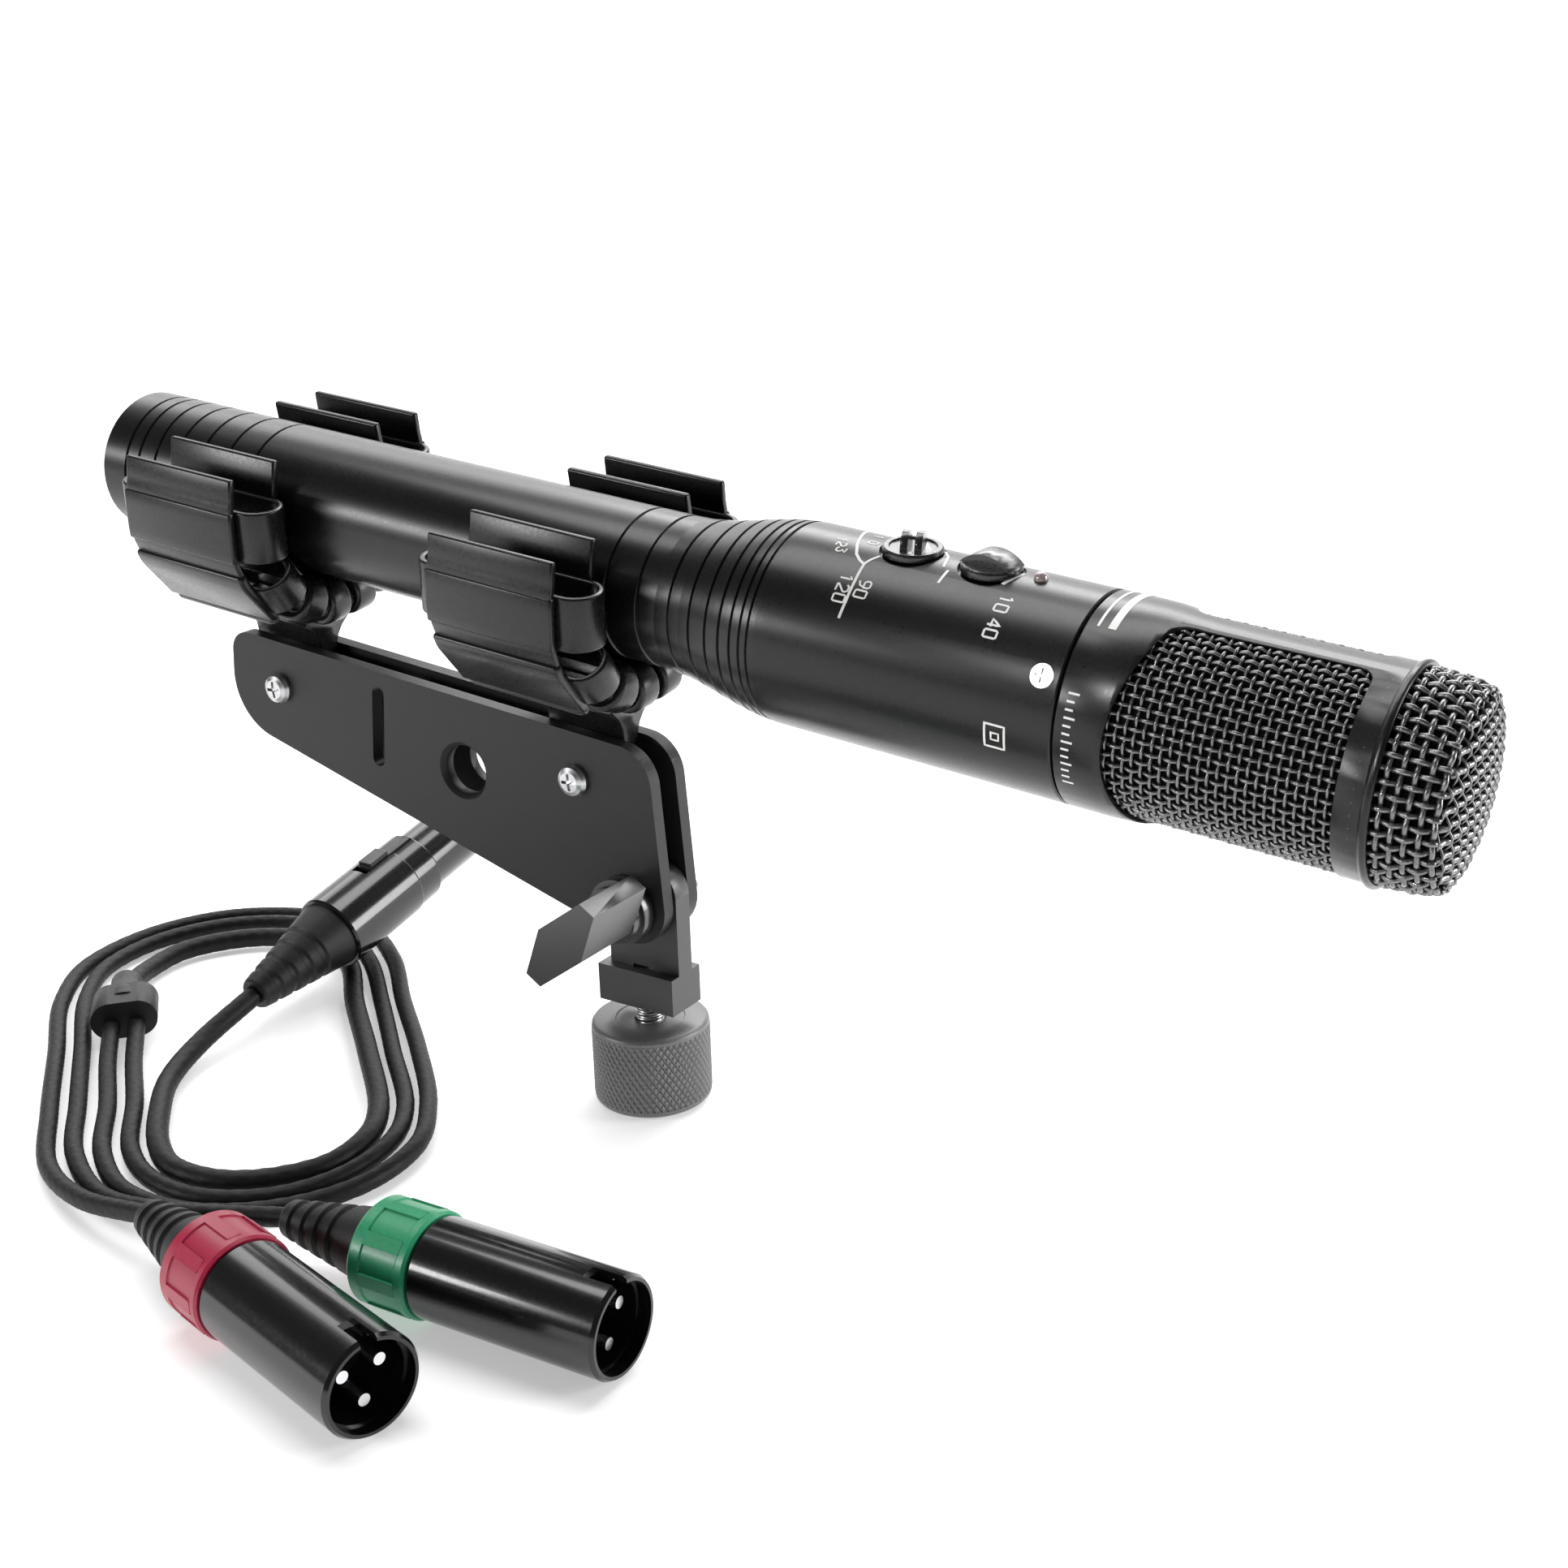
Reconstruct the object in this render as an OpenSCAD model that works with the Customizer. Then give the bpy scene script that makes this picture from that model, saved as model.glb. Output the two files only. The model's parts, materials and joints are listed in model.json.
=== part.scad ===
// Mid-side stereo microphone in a two-cradle elastomer shock mount on a knurled stand adapter, with its loose Y breakout cable.
// Millimetres, +Z up, +X towards the sound source; origin at the mouth of the stand thread.

/* [Microphone] */
// Outer radius of the body and head (mm)
body_r = 20; // [19:0.1:22]
// Outer radius of the slim handle (mm)
handle_r = 15.55; // [14:0.05:17]
// Rear end of the handle, behind the tilt pivot (mm)
rear_x = -143.2; // [-150:0.1:-120]
// Seam between body and head, ahead of the tilt pivot (mm)
seam_x = 99; // [90:0.5:110]
// Front edge of the head's solid band (mm)
band_x = 155.6; // [150:0.1:160]
// Height of the microphone's axis over the tilt pivot (mm)
mic_h = 69.8; // [60:0.1:80]
// Turn of the microphone in its cradles, knobs towards -Y (deg)
mic_roll = 5; // [0:0.5:20]

/* [Controls] */
// Position of the level selector (mm)
knob_a_x = 59.6; // [50:0.1:65]
// Position of the battery and filter knob (mm)
knob_b_x = 76; // [70:0.1:85]

/* [Shock mount] */
// Height of the tilt pivot over the stand thread's mouth (mm)
pivot_z = 46.5; // [40:0.5:60]
// Nose-down tilt at rest (deg)
tilt_rest = 5.2; // [-10:0.1:20]
// Centre of the rear cradle (mm)
clip_rear_x = -99.3; // [-110:0.1:-90]
// Centre of the front cradle (mm)
clip_front_x = -14.5; // [-20:0.1:-10]
// Length of a cradle along the microphone (mm)
clip_len = 31; // [20:1:40]
// Inner face of each side plate from the middle (mm)
plate_in = 2.8; // [2.5:0.1:4]
// Side plate thickness (mm)
plate_t = 3.2; // [2:0.1:4]

/* [Stand adapter] */
// Outer radius of the knurled adapter (mm)
adapter_r = 12.9; // [12:0.1:15]
// Height of the knurled adapter (mm)
adapter_h = 18.5; // [15:0.5:22]
// Radius of the female stand thread at its crests, 5/8 inch 27 per inch (mm)
stand_r = 7.35; // [7.2:0.05:7.9]

/* [Cable] */
// Radius of the five-core trunk (mm)
trunk_r = 2.4; // [2:0.1:3]
// Radius of each leg (mm)
leg_r = 2; // [1.5:0.1:2.5]

/* [Hidden] */
$fn = 96;
// trunk route on the surface: down from the five-pole plug, one turn, into the splitter
trunk_pts = [[-101,-20,8],[-100,-38,4],[-95,-52,2.4],[-85,-64,2.4],[-74,-74,2.4],[-64,-79,2.4],[-52,-78,2.4],[-43,-72,2.4],[-37,-62,2.4],[-38,-50,2.4],[-44,-40,2.4],[-66,-20,2.4],[-86,-3,2.4],[-102,12,2.4],[-114,18,2.4],[-127,17,2.4],[-138,10,2.4],[-145,-2,2.4],[-144,-15,2.4],[-137,-27,4.5]];
// outer leg, ends in the red-ringed plug
red_pts = [[-123,-44,4.5],[-113,-54,2.5],[-98,-67,2],[-82,-82,2],[-66,-90,2],[-49,-89,2],[-34,-79,2],[-26,-64,2],[-27,-47,2],[-37,-32,2],[-57,-13,2],[-77,4,2],[-96,21,2],[-114,31,2],[-134,30,2],[-152,19,2],[-161,1,2],[-160,-20,2],[-149,-37,2],[-128,-56,2],[-106,-76,2],[-88,-91,2],[-68,-99,4.5],[-44,-102,9.5]];
// inner leg, ends in the green-ringed plug
green_pts = [[-119,-40,4.5],[-109,-50,2.5],[-94,-63,2],[-78,-78,2],[-65,-84,2],[-51,-84,2],[-38,-76,2],[-32,-63,2],[-33,-48,2],[-40,-36,2],[-61,-17,2],[-80,0,2],[-100,17,2],[-115,25,2],[-133,25,2],[-148,15,2],[-156,-1,2],[-155,-18,2],[-145,-33,2],[-124,-52,2],[-104,-70,2],[-87,-85,2],[-68,-94,2.5],[-46,-95,6],[-20,-89,9.5]];
front_grooves = [-0.9, 7.9, 14.9, 20.5, 25, 28.6, 31.5, 33.8, 35.6];
rear_grooves = [-135.4, -131.6, -126.6, -120.4, -113.5, -106.2, -98.4];
taper_a = 8; taper_b = 38;
black = [0.05, 0.05, 0.055]; dark = [0.13, 0.13, 0.14]; rubber = [0.10, 0.10, 0.10];
silver = [0.78, 0.78, 0.8]; brass = [0.72, 0.6, 0.32]; gold = [0.85, 0.7, 0.35];
red = [0.70, 0.09, 0.24]; green = [0.18, 0.64, 0.42]; amber = [0.6, 0.1, 0.08]; grey = [0.33, 0.33, 0.34];

function rt(x) = x < taper_a ? handle_r : x > taper_b ? body_r : handle_r + (body_r - handle_r) * (1 - cos(180 * (x - taper_a) / (taper_b - taper_a))) / 2;
module xc(a, b, r) translate([a, 0, 0]) rotate([0, 90, 0]) cylinder(h = b - a, r = r);
module yc(a, b, r) translate([0, a, 0]) rotate([-90, 0, 0]) cylinder(h = b - a, r = r);
module zc(a, b, r) translate([0, 0, a]) cylinder(h = b - a, r = r);
module xrev(p) rotate([0, 90, 0]) rotate_extrude() polygon(p);
module zrev(p) rotate_extrude() polygon(p);
module bx(a, b) translate(a) cube(b - a);
// frame of the tilting assembly: origin on the pivot, X along the microphone
module tilted() translate([0, 0, pivot_z]) rotate([0, tilt_rest, 0]) children();
// frame of the microphone: origin on its axis above the pivot, knobs on +Z
module mic() tilted() translate([0, 0, mic_h]) rotate([mic_roll, 0, 0]) children();

// ---- microphone ----
module body_tube() color(black) mic() difference() {
  xrev(concat([[14.1, rear_x], [14.9, rear_x], [handle_r, rear_x + 0.9]],
    [for (g = rear_grooves) for (k = [[0, -0.4], [-0.4, -0.15], [-0.4, 0.15], [0, 0.4]]) [handle_r + k[0], g + k[1]]],
    [for (g = [-0.9, 7.0]) for (k = [[0, -0.4], [-0.4, -0.15], [-0.4, 0.15], [0, 0.4]]) [handle_r + k[0], g + k[1]]],
    [for (i = [0:len(front_grooves) - 3]) let (g = front_grooves[i + 2], m = (front_grooves[i + 1] + g) / 2) for (k = [[0, m - g], [0, -0.4], [-0.4, -0.15], [-0.4, 0.15], [0, 0.4]]) [rt(g + k[1]) + k[0], g + k[1]]],
    [[rt(37), 37], [body_r, 38.4], [body_r, seam_x - 0.5], [body_r - 0.3, seam_x - 0.2], [18.6, seam_x - 0.2], [18.6, seam_x - 10.5], [18.1, seam_x - 10.5], [18.1, 40], [14.1, 14]]));
  for (x = [knob_a_x, knob_b_x]) translate([x, 0, 0]) { zc(19, 24, 6.3); zc(8, 22, 2.35); }
  translate([85.9, 0, 0]) zc(8, 24, 1.35);
  for (a = [60, 180, 300]) rotate([a, 0, 0]) translate([seam_x - 3.6, 0, 0]) { zc(10, 24, 1.35); zc(19.1, 24, 2.35); }
}
module head_housing() color(black) mic() difference() {
  xrev([[17.3, seam_x - 10.3], [18.55, seam_x - 10.3], [18.55, seam_x + 0.2], [body_r - 0.3, seam_x + 0.2], [body_r, seam_x + 0.5], [body_r, 107], [19.9, 110], [19.65, 113], [19.4, 116.5], [19.25, 120], [19.25, band_x - 1.8], [19.6, band_x - 1.6], [19.95, band_x - 1.1], [19.95, band_x - 0.5], [19.6, band_x - 0.1], [18.95, band_x], [18.95, seam_x + 3.5], [17.3, seam_x + 3.5]]);
  for (s = [0, 1]) mirror([0, s, 0]) intersection() {
    translate([0, 0, -25]) linear_extrude(height = 50) polygon([[146.2, 3.4], [147.45, 3.65], [148.45, 4.35], [149.1, 5.4], [149.3, 6.5], [149.3, 26], [106, 26], [106, 14], [113, 7.4], [113.4, 5.9], [114.4, 4.6], [115.8, 3.7], [117.4, 3.4]]);
    translate([108.3 + 37.6, 0, 0]) yc(-25, 25, 37.6);
  }
  for (a = [60, 180, 300]) rotate([a, 0, 0]) translate([seam_x - 3.6, 0, 0]) zc(10, 24, 1.25);
}
module window_mesh() color(grey) mic() xrev([[18.2, 104], [18.85, 104], [18.85, 150.6], [18.2, 150.6]]);
module front_mesh() color(grey) mic() xrev([[18.2, 151], [18.85, 151], [18.85, 157], [18.5, 161], [17.7, 164.4], [16.6, 166.1], [12, 167.7], [6, 168.7], [0, 169.1], [0, 168.3], [6, 167.9], [11.8, 166.9], [16.1, 165.4], [17.1, 164], [17.9, 160.8], [18.2, 157]]);
module foam_liner() color(dark) mic() xrev([[16.9, 103.6], [17.9, 103.6], [17.9, 150], [17.7, 159], [16.6, 164], [11.5, 166.2], [0, 167.6], [0, 166.2], [11, 165], [15.8, 162.8], [16.8, 158.6], [16.9, 150]]);
module capsule_bridge() color(dark) mic() {
  difference() { xc(99.6, 102.2, 17.2); xc(99, 103, 5); }
  for (y = [-11.5, 11.5]) translate([0, y, -6]) xc(102.2, 150, 1.5);
  for (x = [118, 134.6]) difference() { intersection() { xc(x, x + 1.8, 16.4); bx([x, -13.5, -9], [x + 1.8, 13.5, -4]); } }
  difference() { xc(141.2, 144, 12.8); xc(141, 145, 8.3); }
  bx([102.2, -2.5, -9], [136, 2.5, -7.6]);
}
module side_capsule() color(brass) mic() translate([127.2, 0, 1.6]) { yc(-3.6, 3.6, 8.6); for (s = [-1, 1]) yc(s > 0 ? 3.6 : -4.3, s > 0 ? 4.3 : -3.6, 6.8); bx([-1.5, -1.5, -10.2], [1.5, 1.5, -8]); }
module mid_capsule() color(brass) mic() { xc(139.8, 149.2, 8.2); xc(149.2, 150.2, 7); }
module main_board() color([0.09, 0.27, 0.16]) mic() { bx([-112, -12.2, -5.2], [92, 12.2, -3.6]); bx([-80, -8, -3.6], [-62, 8, 1.5]); bx([-50, -6, -3.6], [-38, 6, 0.5]); for (x = [-30, -20, -10]) translate([x, 5, 0]) zc(-3.6, 3, 2.6); }
module switch_board() color([0.09, 0.27, 0.16]) mic() { bx([50, -10.5, 4.4], [92, 10.5, 6]); for (x = [52, 90]) for (y = [-8, 8]) translate([x, y, 0]) zc(-3.6, 4.4, 1.5); }
module switch_modules() color(dark) mic() for (x = [knob_a_x, knob_b_x]) translate([x, 0, 0]) difference() { zc(6, 15.2, 6.2); zc(7.5, 16, 2.06); }
module status_lamp() color(amber) mic() translate([85.9, 0, 0]) { zc(6, 20.2, 1.3); translate([0, 0, 20.2]) rotate_extrude() intersection() { circle(r = 1.3); translate([0, -2]) square([3, 4]); } }
module battery() color(silver) mic() { translate([0, 0, 4.2]) { xc(-4, 20.6, 6.5); xc(20.6, 21.4, 3); } }
module battery_holder() color(dark) mic() difference() { bx([-7, -8.2, -3.6], [24.4, 8.2, 3]); translate([0, 0, 4.2]) xc(-5, 22.4, 6.7); }
module battery_contacts() color(gold) mic() { translate([0, 0, 4.2]) { xc(21.5, 22, 4); xc(-4.9, -4.2, 4.4); } }
module socket_shell() color(silver) mic() difference() {
  union() { xc(rear_x + 0.5, rear_x + 19, 11.2); xc(rear_x + 1, rear_x + 4, 14.05); xc(rear_x + 15, rear_x + 19, 14.05); }
  xc(rear_x, rear_x + 14.5, 8); xc(rear_x, rear_x + 2.6, 8.35); xc(rear_x + 14, rear_x + 20, 9.2);
  bx([rear_x - 1, -2, 6], [rear_x + 9, 2, 9.6]);
}
module socket_insert() color(dark) mic() xc(rear_x + 14.6, rear_x + 20.5, 9.1);
module socket_pins() color(gold) mic() for (a = [60, 120, 180, 240, 300]) rotate([a, 0, 0]) translate([0, 0, 4.7]) { xc(rear_x + 3.5, rear_x + 22.5, 0.8); }
module head_screws() color(silver) mic() for (a = [60, 180, 300]) rotate([a, 0, 0]) translate([seam_x - 3.6, 0, 0]) difference() { union() { zc(16, 19.2, 1.2); zc(19.15, 20.15, 2.2); } for (k = [0, 90]) rotate([0, 0, k]) bx([-1.3, -0.22, 19.7], [1.3, 0.22, 21]); }
module level_knob() color(black) mic() translate([knob_a_x, 0, 0]) {
  zc(8.2, 19.6, 2); zc(15.6, 16.4, 2.3);
  difference() { zrev([[0, 19.4], [5.6, 19.4], [5.8, 19.6], [5.8, 20.6], [5.4, 21], [4.6, 21], [4.4, 20.6], [0, 20.6]]); rotate([0, 0, 20]) bx([-0.4, -4.2, 20.2], [0.4, -2.6, 22]); }
  rotate([0, 0, 20]) for (s = [-1, 1]) difference() { translate([s * 1.35, 0, 20.7]) rotate([0, 90, 0]) cylinder(h = 1.4, r = 3.1, center = true); bx([-5, -5, 16], [5, 5, 20.5]); }
}
module power_knob() color(black) mic() translate([knob_b_x, 0, 0]) {
  zc(8.2, 19.6, 2); zc(15.6, 16.4, 2.3);
  zrev([[0, 19.4], [5.5, 19.4], [5.75, 19.6], [5.75, 20.7], [5.3, 21.1], [0, 21.1]]);
  rotate([0, 0, -4]) difference() { translate([0, 0, 16]) rotate([90, 0, 0]) cylinder(h = 5.4, r = 7.3, center = true); bx([-8, -4, 8], [8, 4, 21]); }
}

// ---- shock mount ----
// a strip of even thickness along a bent line, mitred at its corners
function nrm(a, b) = [a[1] - b[1], b[0] - a[0]] / norm(b - a);
function miter(p, i) = let (m = len(p) - 1, n0 = nrm(p[max(i - 1, 0)], p[max(i, 1)]), n1 = nrm(p[min(i, m - 1)], p[min(i + 1, m)]), s = n0 + n1) s / (1 + n0 * n1);
module strip(p, t) polygon(concat([for (i = [0:len(p) - 1]) p[i] + miter(p, i) * t / 2], [for (i = [len(p) - 1:-1:0]) p[i] - miter(p, i) * t / 2]));
module along_x(l) rotate([90, 0, 90]) linear_extrude(height = l, center = true) children();
// half-round band joining inner and outer walls: g gap centre, a direction across the gap, r radius, w width
module loop(g, a, r, w) translate([clip_len / 2 - 0.3, g[0], g[1]]) rotate([a, 0, 0]) linear_extrude(height = w, center = true) intersection() { difference() { circle(r = r + 0.8); circle(r = r - 0.8); } translate([0, -12]) square([12, 24]); }
module cradle() {
  in_r = [[-15.6, 14.2], [-16.9, 6], [-17.1, -5.5], [-11.6, -13.6], [-5, -17.3], [5, -17.3], [11.6, -13.6], [17.1, -5.5], [16.9, 6], [15.6, 14.2]];
  // the walls sit a little behind the stem and turn with the microphone
  translate([-3.2, 0, 0]) rotate([mic_roll, 0, 0]) {
    along_x(clip_len) strip(in_r, 1.7);
    for (s = [0, 1]) mirror([0, s, 0]) {
      along_x(clip_len) strip([[-28.3, 13.4], [-29.3, 7], [-29.35, -5], [-27.3, -10.4], [-19.6, -20.8]], 1.7);
      along_x(clip_len - 0.4) translate([-19.4, -21.1]) circle(r = 1.25);
      along_x(16) strip([[-19.8, -20.4], [-12.4, -24.6]], 1.5);
      for (m = [0, 1]) mirror([m, 0, 0]) {
        loop([-23.4, 0.8], 180, 5.85, 11.6);
        loop([-18.9, -12.8], 180 + 32, 5, 8);
        loop([-11.2, -18.9], 180 + 64, 4.3, 6);
        loop([-4.2, -21.8], 270, 4.5, 5.6);
      }
    }
    along_x(26) strip([[-14, -23.2], [-9, -26.2], [9, -26.2], [14, -23.2]], 1.8);
  }
  along_x(20) polygon([[-8.6, -25.8], [8.6, -25.8], [4.2, -30], [2.6, -34], [2.6, -52], [-2.6, -52], [-2.6, -34], [-4.2, -30]]);
}
module cradle_at(x) tilted() difference() { translate([x, 0, mic_h]) cradle(); translate([x, 0, 25.2]) yc(-4, 4, 3.05); }
module cradle_front() color(rubber) cradle_at(clip_front_x);
module cradle_rear() color(rubber) cradle_at(clip_rear_x);
// outline through circles joined by tangent lines, [x, z, r] counter-clockwise
plate_c = [[-109, 31.2, 5], [-100, 26.1, 14], [1, 0.5, 8.6], [-3.6, 26.9, 8.8]];
function tang(a, b) = let (d = [b[0] - a[0], b[1] - a[1]], n = atan2(d[1], d[0]) - acos((a[2] - b[2]) / norm(d))) [[a[0] + a[2] * cos(n), a[1] + a[2] * sin(n)], [b[0] + b[2] * cos(n), b[1] + b[2] * sin(n)]];
function arc_pts(c, p, q) = let (u = atan2(p[1] - c[1], p[0] - c[0]), w = atan2(q[1] - c[1], q[0] - c[0]), v = w < u ? w + 360 : w, m = ceil((v - u) / 5)) [for (i = [0:m]) [c[0] + c[2] * cos(u + (v - u) * i / m), c[1] + c[2] * sin(u + (v - u) * i / m)]];
module outline() polygon([for (i = [0:3]) each arc_pts(plate_c[i], tang(plate_c[(i + 3) % 4], plate_c[i])[1], tang(plate_c[i], plate_c[(i + 1) % 4])[0])]);
module plate(y) tilted() difference() {
  translate([0, y + plate_t, 0]) rotate([90, 0, 0]) linear_extrude(height = plate_t) outline();
  for (x = [clip_rear_x, clip_front_x]) translate([x, 0, 25.2]) yc(-10, 10, 2.15);
  yc(-10, 10, 3.25);
  translate([-69.5, -10, 0]) rotate([-90, 0, 0]) linear_extrude(height = 20) polygon([for (s = [0, 1]) for (a = [0:10:180]) [1.7 * cos(a + 180 * s), -23.1 + (s == 0 ? 7.7 : -7.7) + 1.7 * sin(a + 180 * s)]]);
  translate([-45, 0, 19]) rotate([y > 0 ? -90 : 90, 0, 0]) zrev([[0, 2], [5.6, 2], [5.6, plate_in + plate_t - 1], [6.6, plate_in + plate_t], [7.6, plate_in + plate_t + 1], [0, plate_in + plate_t + 1]]);
}
module near_plate() color(dark) plate(-plate_in - plate_t);
module far_plate() color(dark) plate(plate_in);
module stem_sleeves() color(silver) tilted() for (x = [clip_rear_x, clip_front_x]) translate([x, 0, 25.2]) difference() { yc(-2.75, 2.75, 3); yc(-4, 4, 2.15); }
module plate_screws() color(silver) tilted() for (x = [clip_rear_x, clip_front_x]) translate([x, 0, 25.2]) { yc(-6, 8.8, 2); rotate([90, 0, 0]) difference() { translate([0, 0, 6]) zrev([[0, 0], [3.6, 0], [3.6, 0.8], [3.1, 1.7], [2.2, 2.2], [0, 2.4]]); for (k = [10, 100]) rotate([0, 0, k]) bx([-1.9, -0.35, 7.4], [1.9, 0.35, 9]); } }
module plate_nuts() color(silver) tilted() for (x = [clip_rear_x, clip_front_x]) translate([x, 0, 25.2]) difference() { translate([0, 6, 0]) rotate([-90, 0, 0]) cylinder(h = 2.4, r = 4, $fn = 6); yc(5, 9, 2); }
module pivot_nut() color(silver) tilted() difference() { union() { translate([0, 7.4, 0]) rotate([-90, 0, 0]) cylinder(h = 4.4, r = 6, $fn = 6); yc(11.7, 12.6, 4.6); } yc(6, 14, 3.05); }
module pivot_washers() color(silver) tilted() { difference() { yc(6, 7.4, 7); yc(5, 8, 3.3); } }
module wing_knob() color(black) tilted() difference() { union() {
  yc(-9.6, -6.4, 7.2); yc(-12, -9.6, 6.2);
  translate([0, -11.5, 0]) rotate([90, 0, 0]) linear_extrude(height = 17.5) polygon([[8.5, 9], [4.8, 10.9], [-5.5, 2], [-8.5, -9], [-4.8, -10.9], [5.5, -2]]);
 }
 yc(-24, 0, 2.95);
}
module wing_screw() color(silver) tilted() { yc(-24, 15, 3.0); }
module swivel_block() color(dark) difference() { union() {
  bx([-9.5, -5.1, 22.6], [10, 5.1, 31]);
  bx([-8, -2.4, 31], [10, 2.4, 48.5]); bx([-1, -2.4, 48], [3, 2.4, 55.5]);
  for (x = [-1, 3]) translate([x, 0, 48.5]) yc(-2.4, 2.4, 7);
 }
 translate([0, 0, pivot_z]) yc(-6, 6, 3.05); zc(20, 31.5, 3.15);
}
module adapter_stud() color(silver) { zc(13.2, 31, 3.15); }
module stand_adapter() color(grey) difference() {
  zrev([[stand_r + 0.8, 0], [12.1, 0], [adapter_r, 0.8], [adapter_r, adapter_h - 0.8], [12.1, adapter_h], [3.2, adapter_h], [3.2, 13], [stand_r, 13], [stand_r, 0.8]]);
}

// ---- breakout cable ----
function unit(v) = v / norm(v);
// closed tube of even radius along a route
module tube(p, r, n = 8) {
  m = len(p);
  t = [for (i = [0:m - 1]) unit(p[min(i + 1, m - 1)] - p[max(i - 1, 0)])];
  v = [for (i = [0:m - 1]) let (s = unit(cross([0, 0, 1], t[i])), w = cross(t[i], s)) for (k = [0:n - 1]) p[i] + r * (cos(k * 360 / n) * s + sin(k * 360 / n) * w)];
  f = concat([[for (k = [0:n - 1]) k]], [[for (k = [n - 1:-1:0]) (m - 1) * n + k]],
    [for (i = [0:m - 2]) for (k = [0:n - 1]) each [[i * n + k, (i + 1) * n + k, (i + 1) * n + (k + 1) % n], [i * n + k, (i + 1) * n + (k + 1) % n, i * n + (k + 1) % n]]]);
  polyhedron(points = v, faces = f);
}
// plug frames: origin at the tail of the boot, X towards the nose
module plug5() translate([-101, -20, 8]) rotate([0, 0, 90]) rotate([0, -12.5, 0]) children();
module plug_red() translate([-44, -102, 9.5]) rotate([0, 0, -14]) children();
module plug_green() translate([-20, -89, 9.5]) rotate([0, 0, 2]) children();
module boot(l, r0, r1) difference() { xrev(concat([[0, 0], [r0 - 0.4, 0], [r0, 0.6]], [for (i = [1:4]) for (k = [[0, -1.1], [-0.6, -0.6], [-0.6, 0.6], [0, 1.1]]) let (x = l * i / 6 + k[1]) [r0 + (r1 - r0) * x / l + k[0], x]], [[r1, l], [0, l]])); xc(-1, 8, trunk_r - 0.2); }
module plug5_shell() color(black) plug5() difference() {
  union() { xrev([[7, 26], [9.2, 26], [9.5, 26.6], [9.5, 50], [9.1, 50.6], [9.1, 57.4], [8.6, 58], [7.9, 58], [7.9, 73.6], [7.5, 74], [7.5, 58], [7, 54]]); }
  bx([40, -2.4, 6.6], [57.6, 2.4, 12]);
}
module plug5_insert() color(dark) plug5() difference() { xc(54.5, 73.4, 7.45); for (a = [60, 120, 180, 240, 300]) rotate([a, 0, 0]) translate([0, 0, 4.7]) xc(58, 75, 1.05); }
module plug5_contacts() color(gold) plug5() for (a = [60, 120, 180, 240, 300]) rotate([a, 0, 0]) translate([0, 0, 4.7]) difference() { xc(56, 72.6, 1.0); xc(60, 74, 0.82); }
module plug5_latch() color(silver) plug5() { bx([42, -2.0, 8.3], [57, 2.0, 9.3]); bx([42.5, -2.0, 9.3], [49, 2.0, 10.4]); }
module plug5_boot() color(rubber) plug5() boot(26, 4, 8.6);
module trunk_cable() color(black) tube(trunk_pts, trunk_r);
module y_splitter() color(rubber) translate([-137, -27, 5.6]) rotate([0, 0, -43]) difference() {
  union() { xrev([[0, 0], [3.4, 0], [3.7, 0.6], [3.7, 4], [4.2, 8], [4.8, 12], [4.9, 16], [0, 16]]); translate([16, 0, 0]) rotate([0, 90, 0]) translate([0, 0, -6]) linear_extrude(height = 11) { square([9, 6], center = true); for (s = [-1, 1]) translate([0, s * 3]) circle(r = 4.5, $fn = 48); } }
}
module leg_red() color(black) tube(red_pts, leg_r);
module leg_green() color(black) tube(green_pts, leg_r);
module male_shell() difference() { xrev([[7.4, 36], [9.3, 36], [9.5, 36.5], [9.5, 76.2], [9, 77], [8.35, 77], [8.35, 74], [8, 74], [8, 62.5], [7.4, 62.5]]); bx([70, -1.6, 7], [78, 1.6, 10]); }
module ring() { xrev([[7.2, 22.6], [9.6, 22.6], [10.1, 23.2], [10.1, 25.4], [9.8, 25.7], [9.8, 33.4], [10.1, 33.8], [10.1, 35.2], [9.7, 35.8], [7.2, 35.8]]); for (a = [0:45:315]) rotate([a, 0, 0]) bx([25.4, -1.3, 9.2], [33.8, 1.3, 10.15]); }
module male_insert() xc(56, 62.3, 7.95);
module male_pins() for (a = [0, 120, 240]) rotate([a + 180, 0, 0]) translate([0, 0, 4.2]) { xc(54, 73.6, 1.15); }
module red_shell() color(black) plug_red() male_shell();
module red_ring() color(red) plug_red() ring();
module red_boot() color(rubber) plug_red() boot(22.4, 3.6, 7.4);
module red_insert() color(dark) plug_red() male_insert();
module red_pins() color(silver) plug_red() male_pins();
module green_shell() color(black) plug_green() male_shell();
module green_ring() color(green) plug_green() ring();
module green_boot() color(rubber) plug_green() boot(22.4, 3.6, 7.4);
module green_insert() color(dark) plug_green() male_insert();
module green_pins() color(silver) plug_green() male_pins();

body_tube();
head_housing();
window_mesh();
front_mesh();
foam_liner();
capsule_bridge();
side_capsule();
mid_capsule();
main_board();
switch_board();
switch_modules();
status_lamp();
battery();
battery_holder();
battery_contacts();
socket_shell();
socket_insert();
socket_pins();
head_screws();
level_knob();
power_knob();
cradle_front();
cradle_rear();
near_plate();
far_plate();
stem_sleeves();
plate_screws();
plate_nuts();
pivot_nut();
pivot_washers();
wing_knob();
wing_screw();
swivel_block();
adapter_stud();
stand_adapter();
plug5_shell();
plug5_insert();
plug5_contacts();
plug5_latch();
plug5_boot();
trunk_cable();
y_splitter();
leg_red();
leg_green();
red_shell();
red_ring();
red_boot();
red_insert();
red_pins();
green_shell();
green_ring();
green_boot();
green_insert();
green_pins();
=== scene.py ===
import bpy, math, json
import numpy as np
from mathutils import Matrix, Vector


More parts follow.
